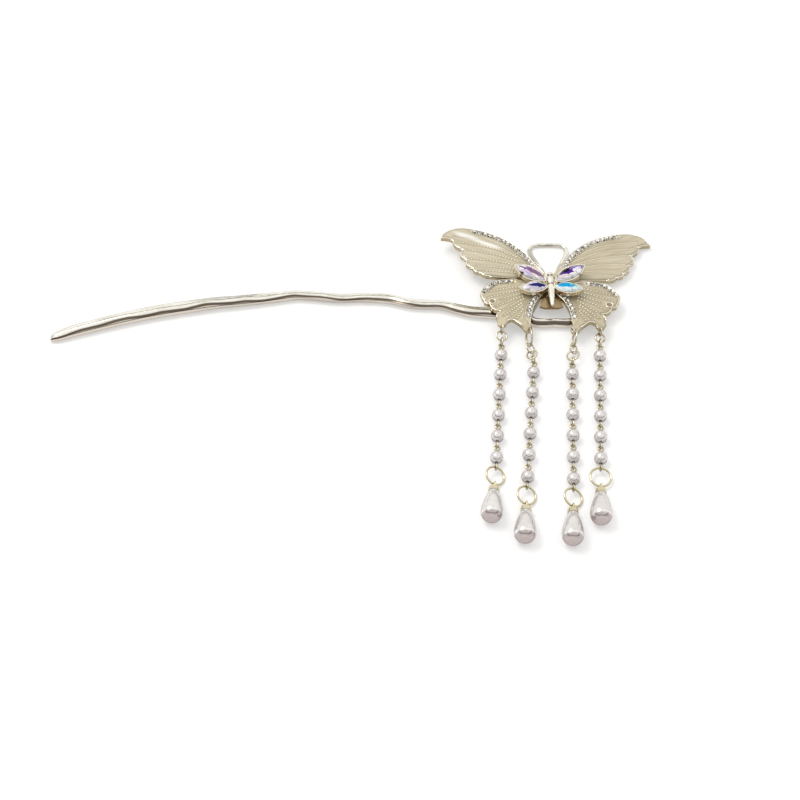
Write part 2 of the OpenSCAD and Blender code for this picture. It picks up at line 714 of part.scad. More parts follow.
module wing(w) {
  on_wing(w) difference() {
    linear_extrude(plate_t + rim_h) wing_outline(w);
    translate([0, 0, plate_t]) linear_extrude(rim_h + cut_over) wing_cell(w, 0);
    translate([0, 0, plate_t]) linear_extrude(rim_h + cut_over) seats(w);
    if (WINGS[w][3] == 0)
      translate([0, 0, plate_t]) linear_extrude(rim_h + cut_over)
        eyelet_discs(eyelet_r + eyelet_past);
  }
}

// Plate that joins the roots of the wings and reaches down over the arms of the loop
module hub() {
  tongue_corner = 0.6 * TONGUE[1];
  translate([0, 0, plate_z - hub_skin]) {
    cylinder(r = hub_r, h = plate_t + 2 * hub_skin);
    linear_extrude(plate_t) polygon([
      [-TONGUE[0], 0],
      [TONGUE[0], 0],
      [TONGUE[1], TONGUE[3] - TONGUE[2]],
      [tongue_corner, -TONGUE[2]],
      [-tongue_corner, -TONGUE[2]],
      [-TONGUE[1], TONGUE[3] - TONGUE[2]],
    ]);
  }
}

module wing_frame() {
  placed() color("#d8c79c") union() {
    for (w = [0:3]) wing(w);
    hub();
  }
}

module enamel(w) {
  placed() color("#cdc1a0") on_wing(w)
    translate([0, 0, plate_t + enamel_gap]) linear_extrude(enamel_t) wing_cell(w, enamel_gap);
}

// Stone with a table, eight star and eight main facets above its girdle, and a flat back
module rhinestone() {
  r = stone_d / 2;
  points = [for (row = STONE, i = [0:7]) let (a = 45 * i + row[2])
    [row[0] * r * cos(a), row[0] * r * sin(a), row[1] * stone_h]];
  polyhedron(points, concat(
    [[for (i = [0:7]) i], [for (i = [7:-1:0]) 16 + i]],
    [for (i = [0:7]) let (j = (i + 1) % 8) each [
      [i, 8 + i, j], [j, 8 + i, 8 + j],
      [16 + i, 16 + j, 8 + i], [16 + j, 8 + j, 8 + i]
    ]]
  ));
}

module stone_row(w, spots) {
  placed() color("#eef0f2") on_wing(w)
    for (p = spots) translate([p[0], p[1], plate_t + stone_gap]) rhinestone();
}

// Marquise outline as the overlap of two discs, grown by a margin
module marquise(l, w, margin) {
  r = (l * l + w * w) / (4 * w);
  intersection() {
    translate([0, w / 2 - r]) circle(r = r + margin, $fn = 96);
    translate([0, r - w / 2]) circle(r = r + margin, $fn = 96);
  }
}

function crystal_l(c) = CRYSTALS[c][3] == 1 ? upper_crystal_l : lower_crystal_l;
function crystal_w(c) = CRYSTALS[c][3] == 1 ? upper_crystal_w : lower_crystal_w;

// Puts a crystal drawn around its middle, along x, into its collet
module on_collet(c) {
  row = CRYSTALS[c];
  translate([row[0] * body_len, row[1] * body_len, collet_z])
    rotate([0, 0, row[2]])
    rotate([0, -collet_tilt, 0])
    translate([crystal_l(c) / 2 + body_r + collet_wall, 0, 0])
    children();
}

module collet(c) {
  on_collet(c) difference() {
    linear_extrude(collet_floor + crystal_h * collet_cover)
      marquise(crystal_l(c), crystal_w(c), crystal_gap + collet_wall);
    translate([0, 0, collet_floor]) linear_extrude(crystal_h)
      marquise(crystal_l(c), crystal_w(c), crystal_gap);
  }
}

module small_butterfly() {
  profile = [for (r = smooth(BODY, 3)) [r[1] * body_r, r[0] * body_len]];
  placed() color("#e3d3a8") union() {
    translate([0, -body_tail * body_len, body_z]) rotate([-90, 0, 0]) rotate_extrude()
      polygon(concat([[0, 0]], profile, [[0, last(profile)[1]]]));
    translate([0, -foot_at * body_len, rim_top + seat_gap])
      cylinder(r = foot_r, h = foot_h + foot_rise * collet_floor);
    for (c = [0:3]) collet(c);
  }
}

// Marquise stone with a long table and three rows of facets
module crystal(c) {
  l = crystal_l(c);
  w = crystal_w(c);
  r = (l * l + w * w) / (4 * w);
  n = 16;
  edge = [for (i = [0:n - 1])
    let (x = l / 2 * cos(360 * i / n), y = sqrt(r * r - x * x) - r + w / 2)
    [x, (i < n / 2 ? 1 : -1) * y]];
  points = [for (row = CUT, p = edge) [p[0] * row[0], p[1] * row[0], row[1] * crystal_h]];
  placed() color("#cfd6ee") on_collet(c) translate([0, 0, collet_floor + crystal_gap])
    polyhedron(points, concat(
      [[for (i = [0:n - 1]) i], [for (i = [n - 1:-1:0]) 4 * n + i]],
      [for (k = [0:3], i = [0:n - 1]) let (a = k * n, j = (i + 1) % n)
        each [[a + i, a + n + i, a + j], [a + j, a + n + i, a + n + j]]]
    ));
}

// Ring in a plane that holds the heading and is rolled about it
module link_ring(place, lean, slope, roll, r, wire) {
  translate(place) rotate([0, 0, -90 - lean]) rotate([0, slope, 0]) rotate([roll, 0, 0])
    rotate_extrude($fn = 64) translate([r, 0]) circle(d = wire, $fn = 24);
}

module eye_pin(s, k) {
  lean = ROUTES[s - 1][3];
  link_ring(eye_place(s, k), lean, 0, pin_roll_top, eye_r, eye_wire);
  link_ring(low_eye_place(s, k), lean, 0, pin_roll_low, eye_r, eye_wire);
  translate(eye_place(s, k)) rotate([0, 0, -90 - lean]) translate([eye_r, 0, 0])
    rotate([0, 90, 0]) cylinder(d = pin_d, h = shank - 2 * eye_r);
}

module strand_links(s) {
  r = ROUTES[s - 1];
  n = len(ring_radii(s)) - 1;
  placed() color("#c9b98a") {
    for (i = [0:n])
      link_ring(ring_place(s, i), r[2],
        slope_from(i == 0 ? eyelet_place(s) : ring_place(s, i - 1),
          i == n ? first_eye(s) : ring_place(s, i + 1)),
        ring_roll(s, i), ring_radii(s)[i], ring_wire(s, i));
    for (k = [1:pearls]) eye_pin(s, k);
  }
}

module pearl(s, k) {
  placed() color("#e9e4e6") translate(pearl_place(s, k)) rotate([0, 0, -90 - ROUTES[s - 1][3]])
    rotate([0, 90, 0]) rotate_extrude() difference() {
      circle(d = pearl_d);
      translate([-pearl_d, -pearl_d]) square([pearl_d + pearl_bore / 2, 2 * pearl_d]);
    }
}

module jump_ring(s) {
  placed() color("#d9c27a")
    link_ring(jump_place(s), ROUTES[s - 1][4],
      slope_from([0, 0, low_z], [jump_leg(s), 0, jump_z]), ROUTES[s - 1][5], jump_size(s),
      jump_wire);
}

// Puts what is drawn along x from a drop's neck into its place
module on_drop(s) {
  translate(neck_place(s)) rotate([0, 0, -90 - ROUTES[s - 1][4]]) rotate([0, -drop_slope, 0])
    children();
}

module drop_cap(s) {
  flange = flange_back - cap_gap;
  placed() color("#d9c27a") {
    on_drop(s) union() {
      translate([-cap_h, 0, 0]) rotate([0, 90, 0])
        cylinder(d = cap_d * cap_neck, h = cap_h - cap_gap);
      translate([-cap_gap - flange, 0, 0]) rotate([0, 90, 0]) cylinder(d = cap_d, h = flange);
      translate([-cap_gap - flange / 2, 0, 0]) rotate([0, 90, 0])
        cylinder(d = pin_d, h = cap_pin_l);
      translate([-cap_eye_back, 0, 0]) rotate([pin_roll_low, 0, 0])
        rotate_extrude($fn = 64) translate([eye_r, 0]) circle(d = eye_wire, $fn = 24);
    }
  }
}

module pearl_drop(s) {
  neck_r = neck_d / 2;
  bore_over = 1.4;
  profile = [for (r = smooth(DROP, 3))
    [neck_r + r[1] * (drop_d / 2 - neck_r), r[0] * drop_l]];
  placed() color("#e4dfe0") on_drop(s) difference() {
    rotate([0, 90, 0]) rotate_extrude($fn = 64)
      polygon(concat([[0, 0]], profile, [[0, drop_l]]));
    translate([-bore_over / 2, 0, 0]) rotate([0, 90, 0])
      cylinder(d = pin_d + 2 * link_play, h = cap_pin_l + bore_over);
  }
}

stick();
wing_frame();
small_butterfly();
for (w = [0:3]) {
  enamel(w);
  crystal(w);
  stone_row(w, WINGS[w][3] == 1 ? upper_spots : lower_spots);
}
stone_row(2, inner_spots);  // stones_inner_left
stone_row(3, inner_spots);  // stones_inner_right
for (s = [1:4]) {
  strand_links(s);
  jump_ring(s);
  drop_cap(s);
  pearl_drop(s);
  for (k = [1:pearls])
    pearl(s, k);
}
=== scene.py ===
import math

import bpy
import numpy
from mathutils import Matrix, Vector
from mathutils.geometry import delaunay_2d_cdt


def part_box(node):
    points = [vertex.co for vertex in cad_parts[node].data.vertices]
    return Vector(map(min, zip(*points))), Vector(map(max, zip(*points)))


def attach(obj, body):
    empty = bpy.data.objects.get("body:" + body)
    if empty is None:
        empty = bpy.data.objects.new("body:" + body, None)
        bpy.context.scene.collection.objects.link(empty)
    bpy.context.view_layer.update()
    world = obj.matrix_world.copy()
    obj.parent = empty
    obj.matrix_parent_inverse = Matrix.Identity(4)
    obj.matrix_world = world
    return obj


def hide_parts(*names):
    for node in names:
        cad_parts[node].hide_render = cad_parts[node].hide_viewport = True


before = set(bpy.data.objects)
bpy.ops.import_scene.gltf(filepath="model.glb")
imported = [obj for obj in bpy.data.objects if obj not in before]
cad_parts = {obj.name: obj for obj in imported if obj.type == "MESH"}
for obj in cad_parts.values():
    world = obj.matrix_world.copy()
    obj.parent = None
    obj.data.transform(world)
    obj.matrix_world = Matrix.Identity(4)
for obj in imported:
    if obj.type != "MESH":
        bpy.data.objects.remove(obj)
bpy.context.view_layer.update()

# Looks of the buyao hairpin, in metres. Sizes below are in millimetres from the hub, the
# middle of the butterfly, and mm() and at_hub() bring them into the frame. They repeat the
# sizes of part.scad, so a size that changes there has to change here too.
HUB = (57.7068, 34.2082)
PLATE_Z = 3.26  # underside of the wing plates
PLATE_T = 0.8
RIM_H = 0.45
UPPER_SIZE = (32.4, 24.0)
LOWER_SIZE = (21.0, 18.5)
STICK_LEN = 141.2
STICK_BOW = 11.6
STICK_W = 4.6
STICK_H = 3.1
LOOP_W = 14.4
LOOP_L = 33.5
LOOP_DROP = 12.5  # from the hub down to the loop's bar
LOOP_X = 0.7
BAR_W = 3.0
BAR_H = 2.9
BAND_W = 2.0  # rim and rhinestones together
EYELET_R = 1.35
CELL_R = 1.2

# Relief that only the scene has, in millimetres
RIM_TOP = PLATE_T + RIM_H
STICK_SIDES = 72
STICK_STEPS = 17  # sections between two rows
LOOP_SIDES = 28
LOOP_STEPS = 6
ENAMEL_TOP = 1.31  # over the plate's underside, where a vein runs
ENAMEL_SWELL = 0.2
SWELL_REACH = 1.25  # from a vein to the full swell
EDGE_REACH = 0.45  # width of the enamel's rounded edge
ENAMEL_GRID = 0.27
VEIN_BEAD = (0.28, 0.95)  # radius and pitch
FINE_BEAD = (0.12, 0.3)
BEAD_TOP = 1.4
RIM_GAP = 1.7  # a longer gap between points of the rim is an eyelet
STONE_ROOM = 0.9  # a vertex this near a stone's middle is that stone's
MILLED_PITCH = 0.4
MILLED_R = 0.19
PRONG_R = 0.23
PRONG_OUT = 0.45  # from the middle of the row to a prong
ON_LOOP = 200  # what the attribute "above" says on the loop, beyond any angle on the stick

# The rows of part.scad: along, rise, width, height
STICK = [
    (-0.008, 0.03, 0.3, 0.45), (0.004, 0.06, 0.5, 0.7), (0.016, 0.11, 0.7, 0.86),
    (0.032, 0.2, 0.8, 0.9), (0.055, 0.29, 0.88, 0.92), (0.085, 0.345, 0.93, 0.93),
    (0.12, 0.39, 0.92, 0.93), (0.155, 0.51, 0.86, 0.9), (0.19, 0.63, 0.8, 0.87),
    (0.245, 0.67, 0.8, 0.86), (0.3, 0.86, 0.8, 0.86), (0.357, 0.9, 0.77, 0.85),
    (0.404, 0.87, 0.76, 0.84), (0.449, 0.94, 0.77, 0.85), (0.493, 0.99, 0.79, 0.87),
    (0.53, 0.92, 0.83, 0.9), (0.573, 0.83, 0.88, 0.93), (0.62, 0.75, 0.93, 0.97),
    (0.665, 0.685, 0.98, 1), (0.738, 0.51, 1, 1), (0.81, 0.3, 0.99, 1),
    (0.881, 0.03, 0.95, 0.97), (0.951, -0.27, 0.88, 0.9), (0.98, -0.42, 0.76, 0.8),
    (0.995, -0.485, 0.58, 0.64), (1, -0.5, 0.3, 0.34),
]
LOOP = [
    (0, 0, 0.96, 0.93), (0.45, -0.006, 1, 0.95), (0.8, 0.005, 1, 0.95),
    (0.97, 0.04, 0.94, 0.93), (1, 0.1, 0.78, 0.9), (0.86, 0.17, 0.7, 0.92),
    (0.6, 0.27, 0.7, 0.97), (0.35, 0.38, 0.72, 1), (0.26, 0.48, 0.72, 1),
    (0.31, 0.59, 0.64, 0.9), (0.46, 0.7, 0.55, 0.72), (0.65, 0.81, 0.48, 0.56),
    (0.78, 0.89, 0.45, 0.48), (0.77, 0.945, 0.44, 0.46), (0.63, 0.985, 0.43, 0.46),
    (0.33, 0.998, 0.43, 0.46), (0, 1, 0.43, 0.46),
]
# Edges of the wings, with the rows of part.scad: out, up, then the band or the bulge
UPPER_LEAD = [
    (0.04, 0.2, 0), (0.075, 0.27, 0), (0.12, 0.35, 1), (0.165, 0.47, 1), (0.21, 0.56, 1),
    (0.28, 0.67, 1), (0.37, 0.78, 1), (0.48, 0.875, 1), (0.59, 0.94, 1), (0.69, 0.98, 1),
    (0.74, 0.993, 0), (0.81, 1, 0), (0.9, 0.97, 0), (0.96, 0.915, 0), (0.995, 0.85, 0),
    (1, 0.81, 0),
]
UPPER_NOTCHES = [
    (1, 0.81, -0.07), (0.89, 0.78, 0.18), (0.795, 0.61, 0.3), (0.765, 0.43, 0.26),
    (0.71, 0.285, 0.26), (0.64, 0.205, 0.18), (0.545, 0.14, 0.03), (0.2, 0.105, 0),
    (0.06, 0.03, 0),
]
LOWER_TOP = [
    (0.03, 0.02, 0), (0.18, 0.05, 0), (0.33, 0.09, 0), (0.44, 0.12, 0), (0.51, 0.127, 1),
    (0.6, 0.127, 1), (0.7, 0.122, 1), (0.81, 0.085, 1), (0.89, 0, 1), (0.965, -0.08, 1),
    (1, -0.17, 1), (0.985, -0.25, 0),
]
LOWER_NOTCHES = [
    (0.985, -0.25, 0.06), (0.955, -0.335, 0.26), (0.875, -0.43, 0.2), (0.735, -0.58, 0.24),
    (0.77, -0.77, 0.1), (0.735, -0.87, 0),
]
LOWER_ARCH = [
    (0.735, -0.87, 0), (0.69, -0.85, 0), (0.63, -0.79, 0), (0.57, -0.762, 0),
    (0.51, -0.815, 0), (0.44, -0.9, 0), (0.385, -0.985, 0),
]
LOWER_INNER = [
    (0.345, -0.985, 0), (0.318, -0.86, 0), (0.3, -0.72, 1), (0.27, -0.535, 1),
    (0.215, -0.38, 1), (0.155, -0.275, 1), (0.105, -0.21, 1), (0.08, -0.175, 0),
    (0.04, -0.12, 0),
]
EYELETS = [(0.71, -0.815), (0.355, -0.93)]
CELL = (0.835, -0.375)
UPPER_VEINS = [
    (0.15, 0.37, 0.87, 0.85, 0.1), (0.145, 0.33, 0.83, 0.73, 0.08),
    (0.145, 0.29, 0.755, 0.6, 0.06), (0.145, 0.25, 0.725, 0.44, 0.045),
    (0.145, 0.21, 0.67, 0.31, 0.03), (0.145, 0.17, 0.6, 0.23, 0.015),
]
LOWER_VEINS = [
    (0.185, -0.02, 0.865, -0.155, 0.03), (0.185, -0.065, 0.88, -0.29, 0.03),
    (0.185, -0.115, 0.715, -0.335, 0.03), (0.22, -0.165, 0.79, -0.49, 0.02),
    (0.27, -0.225, 0.655, -0.54, 0.01), (0.31, -0.295, 0.69, -0.69, 0),
    (0.345, -0.37, 0.58, -0.675, -0.01), (0.385, -0.46, 0.5, -0.74, -0.02),
]
# Wing: side, droop, turn, size, veins
WINGS = {
    "upper_left": (-1, -1.0, 0.0, UPPER_SIZE, UPPER_VEINS),
    "upper_right": (1, 4.8, 0.0, UPPER_SIZE, UPPER_VEINS),
    "lower_left": (-1, 0.0, 0.0, LOWER_SIZE, LOWER_VEINS),
    "lower_right": (1, 1.5, 3.5, LOWER_SIZE, LOWER_VEINS),
}
# Hammered flats of the stick: place along it, angle around it, half length, depth
FLATS = [
    (6, 70, 9, 0.3), (14, 118, 11, 0.36), (24, 62, 12, 0.3), (33, 112, 12, 0.4),
    (43, 66, 12, 0.34), (53, 116, 12, 0.4), (62, 64, 11, 0.34), (71, 110, 12, 0.36),
    (80, 70, 12, 0.3), (92, 120, 16, 0.3), (20, 152, 13, 0.3), (46, 156, 14, 0.3),
    (70, 154, 14, 0.3), (112, 104, 34, 0.22), (108, 160, 40, 0.26), (116, 62, 30, 0.16),
    (30, -20, 14, 0.3), (58, -16, 15, 0.3), (86, -22, 15, 0.26),
]


def mm(*values):
    return Vector(values) * 0.001


def at_hub(x, y, z):
    return mm(HUB[0] + x, HUB[1] + y, z)


def lerp(a, b, t):
    return a + (b - a) * t


def spline(a, b, c, d, t):
    return 0.5 * (2 * b + (c - a) * t + (2 * a - 5 * b + 4 * c - d) * t * t
                  + (3 * b - a - 3 * c + d) * t ** 3)


def smooth(rows, n):
    """Rows with n steps between each two, along a spline through them."""
    last = len(rows) - 1
    out = []
    for i in range(last):
        four = [rows[max(i - 1, 0)], rows[i], rows[i + 1], rows[min(i + 2, last)]]
        out += [tuple(spline(*v, j / n) for v in zip(*four)) for j in range(n)]
    return out + [rows[-1]]


def new_piece(name, points, faces, soft=True):
    mesh = bpy.data.meshes.new(name)
    mesh.from_pydata([tuple(p) for p in points], [], faces)
    mesh.validate()
    mesh.polygons.foreach_set("use_smooth", [soft] * len(mesh.polygons))
    piece = bpy.data.objects.new(name, mesh)
    bpy.context.scene.collection.objects.link(piece)
    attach(piece, "root")
    return piece


def give_field(piece, name, values):
    field = piece.data.attributes.new(name, "FLOAT", "POINT")
    field.data.foreach_set("value", numpy.array(values, dtype=numpy.float32))


def tube_faces(start, rows, sides, closed):
    faces = []
    for i in range(rows if closed else rows - 1):
        a, b = start + i * sides, start + (i + 1) % rows * sides
        faces += [(a + j, b + j, b + (j + 1) % sides, a + (j + 1) % sides) for j in range(sides)]
    if not closed:
        faces.append([start + j for j in range(sides)])
        faces.append([start + (rows - 1) * sides + j for j in reversed(range(sides))])
    return faces


# Stick and hourglass loop, with the hammered flats
def line_side(line, i, closed):
    """Direction across a line in the plane, at its point i."""
    n = len(line)
    a = line[(i - 1) % n] if closed else line[max(i - 1, 0)]
    b = line[(i + 1) % n] if closed else line[min(i + 1, n - 1)]
    t = Vector((b[0] - a[0], b[1] - a[1])).normalized()
    return -t.y, t.x


def flat_share(along, angle, radius):
    """Share of the round section's radius that the hammered flats leave."""
    share = 1.0
    for place, middle, half, depth in FLATS:
        u = (along - place) / half
        turn = abs((angle - middle + 180) % 360 - 180)
        if abs(u) < 1 and turn < 75:
            near = 1 - depth / radius * (1 - u * u)
            share = min(share, near / math.cos(math.radians(turn)))
    return share


def bar_section(p, z, side, w, h, sides, along=None):
    points = []
    for j in range(sides):
        angle = 360 * j / sides
        r = 1 if along is None else flat_share(along, angle, (w + h) / 4)
        c, s = math.cos(math.radians(angle)), math.sin(math.radians(angle))
        points.append(at_hub(p[0] + side[0] * w / 2 * r * c, p[1] + side[1] * w / 2 * r * c,
                             z + h / 2 * r * s))
    return points


def section_bends(points):
    """How sharply a closed section turns at each point, 0 on flats and 1 on clear creases."""
    round_bend, crease_bend = 0.052, 0.112
    out = []
    for i, p in enumerate(points):
        a, b = points[i - 1], points[(i + 1) % len(points)]
        bend = (a + b - p * 2).length / max((b - a).length, 1e-9)
        out.append(min(max((bend - round_bend) / (crease_bend - round_bend), 0), 1))
    return out


def line_angle(along):
    """Height around the stick, from its front, of the dark line, a painted reflection of the
    studio's horizon, that runs down its side.
    """
    return 44 + 5 * math.sin(along / 4.6) + 4 * math.sin(along / 1.9 + 1)


def stick_surface():
    """The stick and the loop, with two attributes: its creases, and the angle above the dark
    line, a painted reflection of the studio's horizon, that the material paints down its side."""
    points, faces, creases, above = [], [], [], []
    rows, sides = smooth(STICK, STICK_STEPS), STICK_SIDES
    root = LOOP_X - LOOP_W / 2
    line = [(root - r[0] * STICK_LEN, -LOOP_DROP + r[1] * STICK_BOW) for r in rows]
    for i, r in enumerate(rows):
        z = max(r[3] * STICK_H, 0.95 * BAR_H if r[0] < 0.02 else 0) / 2
        section = bar_section(line[i], z, line_side(line, i, False), r[2] * STICK_W,
                              r[3] * STICK_H, sides, r[0] * STICK_LEN)
        creases += section_bends(section)
        points += section
        line_at = line_angle(r[0] * STICK_LEN)
        above += [(360 * j / sides + 90) % 360 - 90 - line_at for j in range(sides)]
    faces += tube_faces(0, len(rows), sides, False)
    start, sides = len(points), LOOP_SIDES
    half = smooth(LOOP, LOOP_STEPS)
    rows = half + [(-r[0], r[1], r[2], r[3]) for r in half[-2:0:-1]]
    line = [(LOOP_X + r[0] * LOOP_W / 2, -LOOP_DROP + r[1] * LOOP_L) for r in rows]
    for i, r in enumerate(rows):
        points += bar_section(line[i], r[3] * BAR_H / 2, line_side(line, i, True),
                              r[2] * BAR_W, r[3] * BAR_H, sides)
        # The loop's bar lies across the view like the stick, and shows the same painted
        # reflection line
        bar = r[1] < 0.045
        above += [((270 - 360 * j / sides) % 360 - 146) * 0.5 if bar else ON_LOOP
                  for j in range(sides)]
    faces += tube_faces(start, len(rows), sides, True)
    piece = new_piece("stick_surface", points, faces)
    give_field(piece, "crease", creases + [0.0] * (len(points) - len(creases)))
    give_field(piece, "above", above)
    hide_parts("stick")
    return piece


# Wings, drawn outwards and up as in part.scad and then put into their place
def wing_point(wing, x, y, h):
    side, droop, turn, _, _ = WINGS[wing]
    t, d = math.radians(-turn), math.radians(droop)
    u, v = x * math.cos(t) - y * math.sin(t), x * math.sin(t) + y * math.cos(t)
    return at_hub(side * (u * math.cos(d) + h * math.sin(d)), v,
                  PLATE_Z + h * math.cos(d) - u * math.sin(d))


def scaled(rows, size):
    return [(r[0] * size[0], r[1] * size[1], r[2]) for r in rows]


def lobes(rows, n):
    """Edge between notches, each stretch bulging by its row's share."""
    out = []
    for a, b in zip(rows, rows[1:]):
        cx, cy = b[0] - a[0], b[1] - a[1]
        for j in range(n):
            t = j / n
            out_by = a[2] * math.sin(math.pi * t)
            out.append((a[0] + cx * t - cy * out_by, a[1] + cy * t + cx * out_by, 0))
    return out


def wing_outline(size):
    """Clockwise points of a wing's edge, each with the share of the rhinestone band."""
    if size is UPPER_SIZE:
        edge = smooth(scaled(UPPER_LEAD, size), 4)
        edge += [p for p in lobes(scaled(UPPER_NOTCHES, size), 6) if p[0] < size[0]]
        edge.append(scaled(UPPER_NOTCHES[-1:], size)[0])
    else:
        edge = smooth(scaled(LOWER_TOP, size), 4) + lobes(scaled(LOWER_NOTCHES, size), 5)[1:]
        edge += smooth(scaled(LOWER_ARCH, size), 3) + smooth(scaled(LOWER_INNER, size), 4)
    return [Vector(p[:2]) for p in edge], [min(max(p[2], 0), 1) for p in edge]


def from_lines(points, lines):
    """Distance of each point from the nearest of some polylines, as one array."""
    a = numpy.array([tuple(p) for line in lines for p in line[:-1]])
    b = numpy.array([tuple(p) for line in lines for p in line[1:]])
    points = numpy.array([tuple(p) for p in points])
    way = b - a
    t = ((points[:, None] - a) * way).sum(-1) / numpy.maximum((way * way).sum(-1), 1e-12)
    foot = a + way * numpy.clip(t, 0, 1)[..., None]
    return numpy.sqrt(((points[:, None] - foot) ** 2).sum(-1)).min(1)


def inset(edge, widths):
    """Edge moved inwards by a width at each point, with the widths of what is kept."""
    n, moved = len(edge), []
    for i, p in enumerate(edge):
        a, b = (p - edge[i - 1]).normalized(), (edge[(i + 1) % n] - p).normalized()
        na, nb = Vector((a.y, -a.x)), Vector((b.y, -b.x))
        moved.append(p + (na + nb) / max(1 + na.dot(nb), 0.35) * widths[i])
    far = from_lines(moved, [edge + edge[:1]])
    return [(q, i) for i, (q, d) in enumerate(zip(moved, far)) if d > 0.93 * widths[i]]


def vein_line(row, size):
    """A vein from its root to its end, bent by the share in its row."""
    a = Vector((row[0] * size[0], row[1] * size[1]))
    b = Vector((row[2] * size[0], row[3] * size[1]))
    side = Vector((a.y - b.y, b.x - a.x))
    return [a.lerp(b, k / 16) + side * row[4] * math.sin(math.pi * k / 16) for k in range(17)]


def eyelet_middles(size):
    return [] if size is UPPER_SIZE else [Vector((e[0] * size[0], e[1] * size[1]))
                                          for e in EYELETS]


def circle(middle, radius, n):
    angles = [2 * math.pi * k / n for k in range(n)]
    return [middle + Vector((math.cos(a), math.sin(a))) * radius for a in angles]


def enamel_skin(wing):
    """Enamel that swells between the veins and dips at them, over the flat solid below it."""
    side, _, _, size, veins = WINGS[wing]
    edge, band = wing_outline(size)
    root = (0.15 if size is UPPER_SIZE else 0.2) * size[0]
    rim = inset(edge, [0.36 + (BAND_W - 0.46) * b for b in band])
    rim = [q for q, i in rim if q.x > root]
    for middle in eyelet_middles(size):
        room = EYELET_R + 0.3
        rim = [middle + (q - middle).normalized() * max((q - middle).length, room) for q in rim]
    ring = [(rim[i], rim[(i + 1) % len(rim)]) for i in range(len(rim))]
    rim = [a.lerp(b, k / 3) for a, b in ring for k in range(3)]
    step, grid = ENAMEL_GRID, []
    for j in range(int(2.2 * size[1] / step)):
        y = -1.05 * size[1] + j * step
        grid += [Vector((i * step + (j % 2) * step / 2, y)) for i in range(int(size[0] / step))]
    lines = [vein_line(row, size) for row in veins]
    grid = [p for p, d in zip(grid, from_lines(grid, [rim + rim[:1]])) if d > 0.16]
    points, _, faces, _, _, _ = delaunay_2d_cdt(rim + grid, [], [list(range(len(rim)))], 1, 1e-5)
    vein, edge_far = from_lines(points, lines), from_lines(points, [rim + rim[:1]])
    swell = numpy.clip(vein / SWELL_REACH, 0, 1)
    height = ENAMEL_TOP + ENAMEL_SWELL * swell * swell * (3 - 2 * swell)
    height -= ENAMEL_SWELL * (1 - numpy.clip(edge_far / EDGE_REACH, 0, 1)) ** 2
    places = [wing_point(wing, p.x, p.y, h) for p, h in zip(points, height)]
    if side < 0:
        faces = [list(reversed(f)) for f in faces]
    piece = new_piece("enamel_skin_" + wing, places, faces)
    give_field(piece, "vein", vein)
    give_field(piece, "edge", edge_far)
    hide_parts("enamel_" + wing)
    return piece


def tube(points, faces, line, radii, closed=False, sides=8):
    """Round wire along a line of places, its sections upright."""
    start, n = len(points), len(line)
    for i, p in enumerate(line):
        a = line[(i - 1) % n] if closed else line[max(i - 1, 0)]
        b = line[(i + 1) % n] if closed else line[min(i + 1, n - 1)]
        across = (b - a).cross(Vector((0, 0, 1))).normalized()
        up = across.cross(b - a).normalized()
        for j in range(sides):
            c, s = math.cos(2 * math.pi * j / sides), math.sin(2 * math.pi * j / sides)
            points.append(p + (across * c + up * s) * radii[i] * 0.001)
    faces += tube_faces(start, n, sides, closed)


def wing_rim(wing):
    """Rounded wire on the rim, and the milled lines beside the rhinestones."""
    size = WINGS[wing][3]
    edge, band = wing_outline(size)
    points, faces = [], []
    thick = 0.2 if size is UPPER_SIZE else 0.23
    rows = inset(edge, [thick - 0.02 - 0.05 * b for b in band])
    rows = [(q, i) for q, i in rows
            if all((q - m).length > EYELET_R + 0.1 for m in eyelet_middles(size))]
    line = [wing_point(wing, q.x, q.y, RIM_TOP - 0.02) for q, i in rows]
    gaps = [(a - b).length for a, b in zip(line, line[1:])]
    pieces, run = [], [0]
    for i, gap in enumerate(gaps):
        if gap > RIM_GAP * 0.001:
            pieces.append(run)
            run = []
        run.append(i + 1)
    for run in pieces + [run]:
        if len(run) > 2:
            tube(points, faces, [line[i] for i in run],
                 [thick - 0.06 * band[rows[i][1]] for i in run])
    for middle in eyelet_middles(size):
        line = [wing_point(wing, q.x, q.y, PLATE_T - 0.02)
                for q in circle(middle, EYELET_R - 0.16, 20)]
        tube(points, faces, line, [0.16] * 20, True)
    if size is LOWER_SIZE:
        middle = Vector((CELL[0] * size[0], CELL[1] * size[1]))
        line = [wing_point(wing, q.x, q.y, 1.5) for q in circle(middle, CELL_R - 0.2, 24)]
        tube(points, faces, line, [0.22] * 24, True)
    inner = inset(edge, [BAND_W - 0.12] * len(edge))
    inner = [q for q, i in inner if band[i] > 0.55]
    for a, b in zip(inner, inner[1:]):
        if (a - b).length < 3:
            for p in spaced([a, b], MILLED_PITCH)[:-1]:
                ball(points, faces, wing_point(wing, p.x, p.y, RIM_TOP + 0.06), MILLED_R)
    return new_piece("wing_rim_" + wing, points, faces)


def spikes(wing):
    """Little points at an upper wing's notches, where the veins run out past the rim."""
    size, points, faces = WINGS[wing][3], [], []
    for k, row in enumerate(UPPER_NOTCHES[1:7]):
        notch = Vector((row[0] * size[0], row[1] * size[1]))
        way = notch.normalized()
        reach = 1.5 - 0.1 * k
        line = [wing_point(wing, *(notch + way * reach * t), 1.1 - 0.25 * t)
                for t in (-0.5, 0, 0.5, 0.85, 1)]
        tube(points, faces, line, [0.24, 0.27, 0.2, 0.11, 0.03])
    return new_piece("spikes_" + wing, points, faces)


